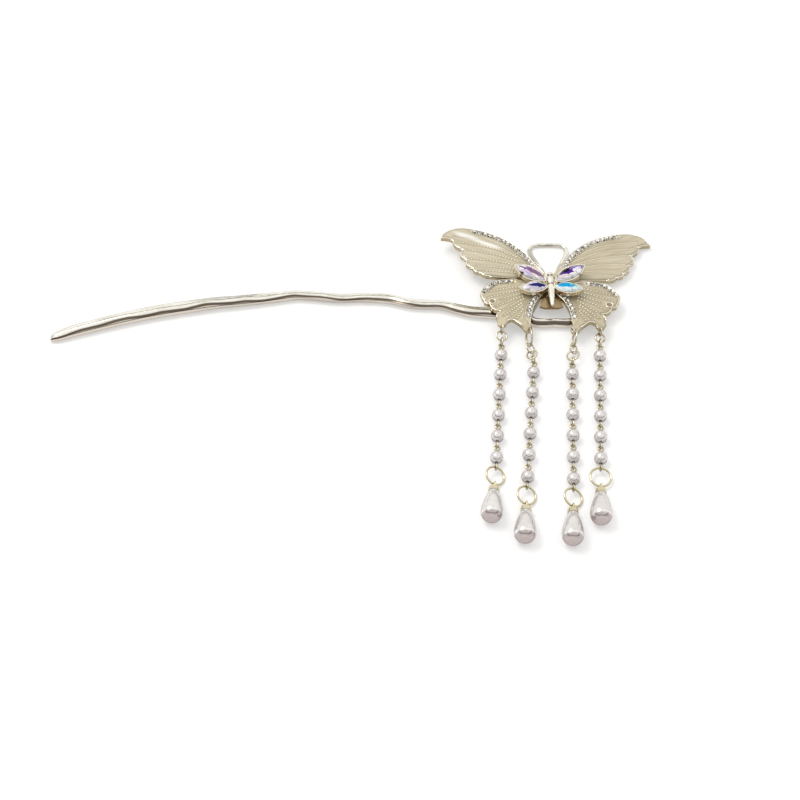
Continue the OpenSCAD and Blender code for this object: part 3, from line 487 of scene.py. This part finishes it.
def ball(points, faces, place, radius, rings=4, sides=8):
    """Upper part of a bead, cut flat below, where it sinks into what carries it."""
    start, radius = len(points), radius * 0.001
    points.append(place + Vector((0, 0, radius)))
    for i in range(1, rings):
        a = math.pi * 0.62 * i / (rings - 1)
        points += [place + Vector((math.sin(a) * math.cos(2 * math.pi * j / sides),
                                   math.sin(a) * math.sin(2 * math.pi * j / sides),
                                   math.cos(a))) * radius for j in range(sides)]
    faces += [(start, start + 1 + j, start + 1 + (j + 1) % sides) for j in range(sides)]
    for i in range(rings - 2):
        a = start + 1 + i * sides
        faces += [(a + j, a + sides + j, a + sides + (j + 1) % sides, a + (j + 1) % sides)
                  for j in range(sides)]
    a = start + 1 + (rings - 2) * sides
    faces.append([a + j for j in reversed(range(sides))])


def spaced(line, pitch):
    """Points at equal steps along a line."""
    out, left = [line[0]], pitch
    for a, b in zip(line, line[1:]):
        length = (b - a).length
        while left <= length:
            out.append(a.lerp(b, left / length))
            left += pitch
        left -= length
    return out


def vein_beads(wing):
    """Rows of milled beads along the veins: large ones where the photograph shows dots."""
    points, faces = [], []
    size, veins = WINGS[wing][3:]
    for k, row in enumerate(veins):
        fine = wing == "upper_right" or (size is UPPER_SIZE and k < 1)
        radius, pitch = FINE_BEAD if fine else VEIN_BEAD
        bare = 2 if fine else 4 if size is UPPER_SIZE else 5  # sixteenths, from the root
        line = spaced(vein_line(row, size)[bare:], pitch)
        for i, p in enumerate(line):
            small = radius * (1 - 0.25 * i / len(line))
            ball(points, faces, wing_point(wing, p.x, p.y, BEAD_TOP), small)
    return new_piece("vein_beads_" + wing, points, faces)


def loose_middles(node):
    """Middle of each stone in a node, in order along the row."""
    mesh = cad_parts[node].data
    spots = []
    for v in mesh.vertices:
        for s in spots:
            if (s[0] / s[1] - v.co).xy.length < STONE_ROOM * 0.001:
                s[0] += v.co
                s[1] += 1
                break
        else:
            spots.append([v.co.copy(), 1])
    middles = [s[0] / s[1] for s in spots]
    row = [min(middles, key=lambda p: p.x)]
    rest = [p for p in middles if p is not row[0]]
    while rest:
        row.append(min(rest, key=lambda p: (p - row[-1]).length))
        rest.remove(row[-1])
    return row


def prongs(node):
    """A pair of prongs between each two rhinestones."""
    points, faces = [], []
    row = loose_middles(node)
    for a, b in zip(row, row[1:]):
        side = Vector((a.y - b.y, b.x - a.x, 0)).normalized()
        middle = (a + b) / 2
        for k in (-1, 1):
            ball(points, faces, middle + side * k * PRONG_OUT * 0.001 + mm(0, 0, 0.12), PRONG_R)
    return new_piece(node.replace("stones", "prongs"), points, faces)


# Shaders as Python sums
class Field:
    """A shader socket that takes part in Python expressions."""

    def __init__(self, tree, socket):
        self.tree = tree
        self.socket = socket

    def add(self, kind, inputs=(), output=0, **settings):
        node = self.tree.nodes.new(kind)
        for key, value in settings.items():
            setattr(node, key, value)
        for key, value in dict(inputs).items():
            if isinstance(value, Field):
                self.tree.links.new(value.socket, node.inputs[key])
            elif value is not None:
                node.inputs[key].default_value = value
        return Field(self.tree, node.outputs[output])

    def math(self, operation, *others, clamp=False):
        inputs = {0: self} | {i + 1: other for i, other in enumerate(others)}
        return self.add("ShaderNodeMath", inputs, operation=operation, use_clamp=clamp)

    def __add__(self, other):
        return self.math("ADD", other)

    def __radd__(self, other):
        return self.math("ADD", other)

    def __sub__(self, other):
        return self.math("SUBTRACT", other)

    def __rsub__(self, other):
        return self.math("MULTIPLY", -1.0).math("ADD", other)

    def __mul__(self, other):
        return self.math("MULTIPLY", other)

    def scale(self, other):
        return self.add("ShaderNodeVectorMath", {0: self, "Scale": other}, operation="SCALE")

    def __rmul__(self, other):
        return self.math("MULTIPLY", other)

    def __truediv__(self, other):
        return self.math("DIVIDE", other)

    def parts(self):
        node = self.tree.nodes.new("ShaderNodeSeparateXYZ")
        self.tree.links.new(self.socket, node.inputs[0])
        return [Field(self.tree, out) for out in node.outputs]

    def step(self, low, high):
        """0 below low, 1 above high, and smooth between."""
        return self.add("ShaderNodeMapRange", {0: self, 1: low, 2: high, 3: 0.0, 4: 1.0},
                        interpolation_type="SMOOTHSTEP")

    def mix(self, a, b):
        """Colour a where the field is 0, b where it is 1."""
        a = a if isinstance(a, Field) else (*a, 1)
        b = b if isinstance(b, Field) else (*b, 1)
        return self.add("ShaderNodeMix", {0: self, 6: a, 7: b}, 2, data_type="RGBA")

    def noise(self, scale, detail=2.0, rough=0.5, distortion=0.0):
        return self.add("ShaderNodeTexNoise", {"Vector": self, "Scale": scale, "Detail": detail,
                                               "Roughness": rough, "Distortion": distortion})

    def cells(self, scale, output="Distance"):
        return self.add("ShaderNodeTexVoronoi", {"Vector": self, "Scale": scale}, output)

    def shifted(self, other, scale):
        """This vector plus another one times a number."""
        return self.add("ShaderNodeVectorMath", {0: other, 1: (scale,) * 3, 2: self},
                        operation="MULTIPLY_ADD")

    def vector(self, x, y, z):
        return self.add("ShaderNodeCombineXYZ", {0: x, 1: y, 2: z})

    def bump(self, strength, distance):
        return self.add("ShaderNodeBump", {"Height": self, "Strength": strength,
                                           "Distance": distance})


def material(name, make, **constants):
    """Principled material. make(place) gives the inputs that vary over the surface."""
    mat = bpy.data.materials.new(name)
    mat.use_nodes = True
    tree = mat.node_tree
    shader = tree.nodes["Principled BSDF"]
    for key, value in constants.items():
        shader.inputs[key.replace("_", " ")].default_value = value
    place = Field(tree, tree.nodes.new("ShaderNodeTexCoord").outputs["Object"])
    for key, value in make(place).items():
        tree.links.new(value.socket, shader.inputs[key])
    return mat


def metal(name, light, dark, rough, low=None, bump=0.1, grain=2600.0, crease=None,
          tongue_shade=None, groove_shade=None, shine=1.0):
    """Polished metal with faint clouds, fine wear, and painted shade on its steep and
    downward-facing sides.
    """
    def make(place):
        cloud = place.noise(160.0, 3.0)
        fine = place.noise(grain, 3.0, 0.6)
        worn = place.noise(600.0, 4.0, 0.65)
        rise = place.add("ShaderNodeNewGeometry", output="Normal").parts()[2]
        colour = (cloud * 0.7 + worn * 0.3).step(0.35, 0.65).mix(dark, light)
        # Painted shade: a darker tone where the surface faces sideways or down
        if low:
            colour = (rise + cloud * 0.3).step(0.25, 0.8).mix(low, colour)
        # Painted shade on the tongue of the wing frame below the hub
        if tongue_shade:
            x, y, _ = place.scale(1000.0).parts()
            beside = (x - HUB[0]).math("ABSOLUTE").step(3.0, 4.2)
            below = (y - HUB[1]).step(-2.4, -1.2)
            colour = ((1.0 - beside) * (1.0 - below) * 0.85).mix(colour, tongue_shade)
        # Painted shade: dark lines in the grooves of the small butterfly's body
        if groove_shade:
            y = place.scale(1000.0).parts()[1] - HUB[1]
            for middle in groove_shade:
                line = 1.0 - (y - middle).math("ABSOLUTE").step(0.15, 0.5)
                colour = (line * 0.8).mix(colour, (0.22, 0.16, 0.09))
        if crease:
            # Painted light on the stick: grey reflection lines on its creases, painted shade
            # below the dark line, the dark line as a painted reflection of its studio's horizon,
            # a faint painted reflection line above that one, and painted dark reflection dashes
            # on the loop
            line = place.add("ShaderNodeAttribute", output="Fac", attribute_name="crease")
            colour = (line * (worn * 0.8 + 0.4)).mix(colour, crease)
            above = place.add("ShaderNodeAttribute", output="Fac", attribute_name="above")
            colour = ((1.0 - above.step(-10.0, -3.0)) * 0.8).mix(colour, low)
            line = (above + cloud * 8.0 - 4.0).math("ABSOLUTE").step(7.0, 18.0)
            colour = ((1.0 - line) * 0.95).mix(colour, (0.10, 0.07, 0.045))
            line = (above + cloud * 30.0 - 60.0).math("ABSOLUTE").step(1.5, 6.0)
            colour = ((1.0 - line) * 0.85).mix(colour, crease)
            dash = above.step(150.0, 160.0) * cloud.step(0.5, 0.56)
            colour = (dash * 0.6).mix(colour, crease)
        return {
            "Base Color": colour,
            "Roughness": fine * 0.12 + worn * 0.1 + (rough - 0.11),
            "Normal": (fine * 0.5 + worn).bump(bump, 0.00004),
        }
    return material(name, make, Metallic=shine)


def enamel(name, wing, light, dark, glare):
    """Satin enamel over fine rays, with painted shade beside each vein, a darker line on it (a
    lighter one on the upper right wing), painted shade along its edge by the rim, darker towards
    the root, and a painted highlight streak on the upper left wing.
    """
    side, size = WINGS[wing][0], WINGS[wing][3]
    upper = size is UPPER_SIZE
    root = at_hub(0, size[1] * (0.12 if upper else 0.06), 0)

    def make(place):
        vein = place.add("ShaderNodeAttribute", output="Fac", attribute_name="vein")
        edge = place.add("ShaderNodeAttribute", output="Fac", attribute_name="edge")
        x, y, _ = place.parts()
        u, v = (x - root.x) * side, y - root.y
        angle = v.math("ARCTAN2", u)
        reach = (u * u + v * v).math("SQRT")
        rays = place.vector(angle * 30.0, reach * 60.0, 0.0).noise(1.0, 3.0, 0.6)
        fine = place.vector(angle * 120.0, reach * 140.0, 3.0).noise(1.0, 2.0, 0.5)
        cloud = place.noise(95.0, 2.0)
        pearl = place.noise(3800.0, 2.0, 0.7)
        tone = (rays * 0.45 + cloud * 0.4 + fine * 0.15).step(0.38, 0.62)
        colour = tone.mix(dark, light)
        shade = vein.step(0.15, 0.34) - vein.step(0.4, 0.85)
        shade = shade * (0.15 + rays * 0.35 if upper else 0.25 + rays * 0.5)
        colour = shade.mix(colour, [c * 0.62 for c in dark])
        line = 1.0 - vein.step(0.12, 0.3)
        if wing == "upper_right":
            colour = (line * 0.6).mix(colour, [min(c * 1.25, 1) for c in light])
        else:
            colour = (line * 0.55).mix(colour, [c * 0.62 for c in dark])
        # Painted shade along the enamel's edge, where it dips to the rim
        colour = ((1.0 - edge.step(0.1, 0.7)) * 0.55).mix(colour, [c * 0.6 for c in dark])
        deep = (reach * 1000.0).step(size[0] * 0.16, size[0] * 0.42)
        colour = ((1.0 - deep) * 0.4).mix(colour, [c * 0.6 for c in dark])
        if not upper:
            middle = wing_point(wing, CELL[0] * size[0], CELL[1] * size[1], 1.4)
            off_x, off_y = x - middle.x, y - middle.y
            far = (off_x * off_x + off_y * off_y).math("SQRT") * 1000.0
            colour = ((1.0 - far.step(0.6, 0.95)) * 0.8).mix(colour, (0.20, 0.14, 0.07))
        if glare:
            streak = (v * 1000.0 - (u * 1000.0) * 0.42 - 8.3 + cloud * 3.0).math("ABSOLUTE")
            inside = (u * 1000.0).step(12.0, 17.0) * (1.0 - (u * 1000.0).step(26.0, 30.0))
            colour = ((1.0 - streak.step(0.2, 1.5)) * inside * 0.75).mix(
                colour, (0.92, 0.92, 0.90))
        return {
            "Base Color": colour,
            "Roughness": pearl * 0.16 + rays * 0.12 + 0.24,
            "Normal": (rays * 0.8 + fine * 0.5 + pearl * 0.1).bump(0.3, 0.00008),
        }
    return material(name, make, Coat_Weight=0.5, Coat_Roughness=0.1, Metallic=0.1)


def gem(name, node, lean, clear, pale, blots, stripes=None):
    """Foil-backed cut crystal with painted glints: each cell of a stretched net stands for a
    facet, with its own painted tone of white. Each blot is the stone's colour with painted shade
    and reflections in it: its middle along and across the stone, its half length and half width
    in millimetres, and its colour."""
    low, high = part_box(node)
    middle = (low + high) / 2
    c, s = math.cos(math.radians(lean)), math.sin(math.radians(lean))

    def make(place):
        x, y, _ = place.parts()
        along = ((x - middle.x) * c + (y - middle.y) * s) * 1000.0
        across = ((y - middle.y) * c - (x - middle.x) * s) * 1000.0
        net = place.vector(along, across * 1.9, 0.0)
        cell_x, cell_y, _ = net.cells(0.95, "Position").parts()
        tone, tone2, _ = net.cells(0.95, "Color").parts()
        grain = place.noise(1100.0, 2.0, 0.6)
        u = along * 0.45 + cell_x * 0.55
        v = across * 0.45 + cell_y * (0.55 / 1.9)
        colour = (tone * 0.8 + grain * 0.3).step(0.25, 0.75).mix(pale, clear)
        dark = tone * 0.0
        for blot_u, blot_v, long, wide, tint in blots:
            far, aside = (u - blot_u) / long, (v - blot_v) / wide
            inside = 1.0 - (far * far + aside * aside).step(0.8, 1.15)
            shade = [inside_c * 0.72 for inside_c in tint]
            colour = inside.mix(colour, tone2.step(0.3, 0.7).mix(shade, tint))
            if sum(tint) < 1.2:
                dark = dark + inside
        # Painted reflections: dark stripes across the facets near one tip
        if stripes:
            line = (across * 4.2 + grain * 1.5 - 0.4).math("SINE").step(0.1, 0.5)
            line = line * along.step(stripes[0], stripes[0] + 0.6)
            line = line * (1.0 - along.step(stripes[1] - 0.6, stripes[1]))
            colour = line.mix(colour, (0.05, 0.045, 0.07))
        return {
            "Base Color": colour,
            "Roughness": grain * 0.08 + 0.02,
            "Coat Weight": (1.0 - dark).math("MAXIMUM", 0.0),
        }
    return material(name, make, Metallic=0.3, Coat_Roughness=0.02, Specular_IOR_Level=0.12)


def rhinestone(name):
    """Clear stone with painted glints: each facet, by where it is and how it faces, is painted
    white or dark.
    """
    def make(place):
        facing = place.add("ShaderNodeNewGeometry", output="True Normal")
        tone = facing.shifted(place, 330.0).noise(2.6, 1.0)
        spark = place.noise(1500.0, 1.0)
        tone = (tone * 0.7 + spark * 0.3).step(0.42, 0.50)
        return {
            "Base Color": tone.mix((0.05, 0.05, 0.055), (0.98, 0.98, 0.99)),
            "Roughness": spark * 0.1 + 0.02,
        }
    return material(name, make, Metallic=0.45, Coat_Weight=1.0, Coat_Roughness=0.02)


def pearl(name, light, dark, low, end_reflection=None):
    """Imitation pearl: a lustrous skin, with painted shade underneath, a painted highlight line
    round its belly, and a painted dark reflection on the lower end of a drop.
    """
    def make(place):
        cloud = place.noise(420.0, 2.0)
        lustre = place.noise(140.0, 1.0)
        skin = place.noise(5200.0, 2.0, 0.7)
        _, ahead, rise = place.add("ShaderNodeNewGeometry", output="Normal").parts()
        colour = (cloud * 0.6 + lustre * 0.4).step(0.4, 0.62).mix(dark, light)
        # Painted shade on the underside
        colour = (rise + cloud * 0.2).step(0.05, 0.6).mix(low, colour)
        # Painted highlight: a bright line round the belly
        belly_highlight = 1.0 - (ahead + (0.2 if end_reflection else 0.42)).math("ABSOLUTE").step(0.03, 0.12)
        colour = (belly_highlight * 0.7).mix(colour, (0.96, 0.94, 0.94))
        # Painted reflection: the lower end of a drop dark, a little lighter at its tip
        if end_reflection:
            under = 1.0 - ahead.step(-0.46, -0.3)
            colour = (under * (0.75 + cloud * 0.5 + ahead.math("MINIMUM", -0.7) * 0.35)).mix(
                colour, end_reflection)
        return {
            "Base Color": colour,
            "Roughness": cloud * 0.04 + skin * 0.03 + (0.1 if end_reflection else 0.16),
            "Normal": skin.bump(0.02, 0.00001),
        }
    return material(name, make, Metallic=0.65, Coat_Weight=0.35, Coat_Roughness=0.03,
                    Specular_Tint=(0.55, 0.52, 0.54, 1))


def dress(nodes, mat):
    for name in nodes:
        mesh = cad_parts[name].data
        if mesh.materials:
            for i in range(len(mesh.materials)):
                mesh.materials[i] = mat
        else:
            mesh.materials.append(mat)


# Each wing catches the light its own way in the photograph.
ENAMEL = {
    "upper_left": ((0.61, 0.55, 0.41), (0.49, 0.43, 0.30)),
    "upper_right": ((0.58, 0.52, 0.385), (0.46, 0.40, 0.275)),
    "lower_left": ((0.62, 0.55, 0.39), (0.475, 0.41, 0.265)),
    "lower_right": ((0.54, 0.475, 0.335), (0.41, 0.35, 0.225)),
}

champagne = metal("champagne_silver", (0.93, 0.91, 0.85), (0.80, 0.77, 0.69), 0.11,
                  (0.67, 0.60, 0.53), bump=0.05, crease=(0.33, 0.32, 0.25))
pale_gold = metal("pale_gold", (0.74, 0.67, 0.51), (0.60, 0.52, 0.36), 0.28,
                  (0.42, 0.35, 0.22), tongue_shade=(0.36, 0.26, 0.14))
bead_gold = metal("bead_gold", (1.0, 0.96, 0.82), (0.98, 0.91, 0.72), 0.4, shine=0.35)
rim_gold = metal("rim_gold", (0.93, 0.90, 0.80), (0.76, 0.70, 0.55), 0.2, (0.40, 0.33, 0.22))
body_gold = metal("body_gold", (0.92, 0.89, 0.78), (0.80, 0.74, 0.60), 0.18, (0.78, 0.71, 0.58),
                  groove_shade=(-1.55, 1.8))
wire_gold = metal("wire_gold", (0.74, 0.69, 0.54), (0.52, 0.46, 0.32), 0.22, (0.36, 0.30, 0.18),
                  bump=0.0)
ring_gold = metal("ring_gold", (0.76, 0.70, 0.51), (0.62, 0.55, 0.34), 0.14, (0.36, 0.29, 0.14),
                  bump=0.0)

surface = stick_surface()
surface.data.materials.append(champagne)
for wing in WINGS:
    vein_beads(wing).data.materials.append(bead_gold)
    wing_rim(wing).data.materials.append(rim_gold)
for wing in ("upper_left", "upper_right"):
    spikes(wing).data.materials.append(body_gold)
for node in sorted(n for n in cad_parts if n.startswith("stones_")):
    prongs(node).data.materials.append(pale_gold)

dress(["stick"], champagne)
dress(["wing_frame"], pale_gold)
dress(["small_butterfly"], body_gold)
dress([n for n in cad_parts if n.startswith("strand_links")], wire_gold)
dress([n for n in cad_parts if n.startswith(("jump_ring", "drop_cap"))], ring_gold)
dress([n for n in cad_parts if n.startswith("stones_")], rhinestone("rhinestone"))
dress([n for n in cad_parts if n.startswith("pearl_")],
      pearl("pearl", (0.73, 0.70, 0.69), (0.68, 0.65, 0.64), (0.39, 0.34, 0.34)))
dress(["drop_%d" % k for k in range(1, 5)],
      pearl("drop_pearl", (0.78, 0.76, 0.74), (0.71, 0.68, 0.66), (0.53, 0.48, 0.47),
            (0.46, 0.38, 0.37)))
for wing in WINGS:
    light, dark = ENAMEL[wing]
    mat = enamel("enamel_" + wing, wing, light, dark, wing == "upper_left")
    enamel_skin(wing).data.materials.append(mat)
    dress(["enamel_" + wing], mat)
dress(["crystal_upper_left"], gem(
    "crystal_upper_left", "crystal_upper_left", 148, (0.95, 0.93, 0.97), (0.66, 0.60, 0.68), [
        (-0.2, 0.6, 3.4, 0.9, (0.78, 0.62, 0.92)), (-1.2, -0.5, 3.0, 1.05, (0.27, 0.145, 0.26)),
        (0.0, -1.3, 2.6, 0.4, (0.62, 0.45, 0.66)), (-2.6, 0.9, 1.6, 0.5, (0.93, 0.95, 0.88)),
    ], (1.0, 3.9)))
dress(["crystal_upper_right"], gem(
    "crystal_upper_right", "crystal_upper_right", 32, (0.95, 0.95, 0.97), (0.60, 0.58, 0.60), [
        (0.8, 0.55, 4.4, 1.5, (0.10, 0.02, 0.32)), (-0.7, 1.0, 2.3, 0.75, (0.004, 0.002, 0.02)),
        (2.8, 1.0, 2.0, 0.55, (0.012, 0.004, 0.05)), (1.4, 0.6, 1.2, 0.34, (0.46, 0.32, 0.78)),
        (2.0, -0.35, 1.6, 0.5, (0.86, 0.78, 0.97)), (-3.0, -0.4, 1.3, 0.6, (0.80, 0.68, 0.72)),
    ]))
dress(["crystal_lower_left"], gem(
    "crystal_lower_left", "crystal_lower_left", 189, (0.96, 0.96, 0.99), (0.74, 0.66, 0.66), [
        (-1.0, 0.1, 3.3, 1.4, (0.80, 0.78, 0.97)), (-1.1, 0.15, 2.7, 0.75, (0.02, 0.025, 0.17)),
    ]))
dress(["crystal_lower_right"], gem(
    "crystal_lower_right", "crystal_lower_right", -13, (0.94, 0.96, 0.97), (0.62, 0.78, 0.84), [
        (0.2, -0.35, 2.8, 0.6, (0.62, 0.88, 0.96)), (-2.4, 0.3, 1.2, 0.6, (0.22, 0.36, 0.62)),
        (-0.7, 0.1, 2.6, 1.0, (0.015, 0.40, 0.78)), (1.4, 0.5, 1.2, 0.6, (0.30, 0.76, 0.74)),
        (2.0, 0.05, 1.2, 0.22, (0.06, 0.30, 0.36)),
    ]))


# Studio: one soft lamp in a pale tent, over white paper
def stage_light(name, place, target, size, power, colour):
    light = bpy.data.lights.new(name, "AREA")
    light.shape = "ELLIPSE"
    light.size, light.size_y = size
    light.energy = power
    light.color = colour
    obj = bpy.data.objects.new(name, light)
    bpy.context.scene.collection.objects.link(obj)
    obj.location = place
    obj.rotation_euler = (Vector(target) - Vector(place)).to_track_quat("-Z", "Y").to_euler()
    return obj


floor_mesh = bpy.data.meshes.new("floor")
FLOOR_R = 3
floor_mesh.from_pydata([(-FLOOR_R, -FLOOR_R, 0), (FLOOR_R, -FLOOR_R, 0), (FLOOR_R, FLOOR_R, 0),
                        (-FLOOR_R, FLOOR_R, 0)], [], [(0, 1, 2, 3)])
floor = bpy.data.objects.new("floor", floor_mesh)
bpy.context.scene.collection.objects.link(floor)
floor_mat = material("floor_paper", lambda place: {
    "Base Color": place.noise(6.0).mix((0.60, 0.60, 0.60), (0.62, 0.62, 0.62)),
    "Roughness": place.noise(40.0) * 0.2 + 0.6,
}, Emission_Color=(1, 1, 1, 1), Emission_Strength=0.38)
floor_mesh.materials.append(floor_mat)

world = bpy.data.worlds.new("studio")
bpy.context.scene.world = world
world.use_nodes = True
tree = world.node_tree
back = tree.nodes["Background"]
way = Field(tree, tree.nodes.new("ShaderNodeTexCoord").outputs["Generated"])
_, wy, wz = way.parts()
# A white tent with a dark gap on the photographer's side and a dim horizon, which give the
# polished pieces their dark lines
front = 1.0 - wy.step(-0.5, 0.5)
cards = way.noise(1.1, 0.0).step(0.3, 0.65).mix((0.90, 0.89, 0.87), (1.02, 1.01, 0.99))
band = wz.step(0.28, 0.34) - wz.step(0.50, 0.60)
low = 1.0 - wz.step(0.0, 0.1)
sky = (band * front * 0.97).math("MAXIMUM", low * 0.6).mix(cards, (0.03, 0.024, 0.02))
tree.links.new(sky.socket, back.inputs["Color"])
back.inputs["Strength"].default_value = 1.02

# The photograph's view: what it looks at, from how far in metres and how many degrees up
look = mm(12.78, -6.95, 0)
VIEW_FAR = 0.45
VIEW_LIFT = 50
stage_light("key", look + Vector((-0.35, 0.25, 0.75)), look, (0.5, 0.4), 2.8, (1, 0.98, 0.95))

camera = bpy.data.cameras.new("camera")
camera.lens = 71.05
camera.sensor_width = 36
camera.clip_start = 0.01
view = bpy.data.objects.new("camera", camera)
bpy.context.scene.collection.objects.link(view)
view.location = look + Vector((0, -VIEW_FAR * math.cos(math.radians(VIEW_LIFT)),
                               VIEW_FAR * math.sin(math.radians(VIEW_LIFT))))
view.rotation_euler = (math.radians(90 - VIEW_LIFT), 0, 0)
bpy.context.scene.camera = view
bpy.context.scene.view_settings.view_transform = "Standard"
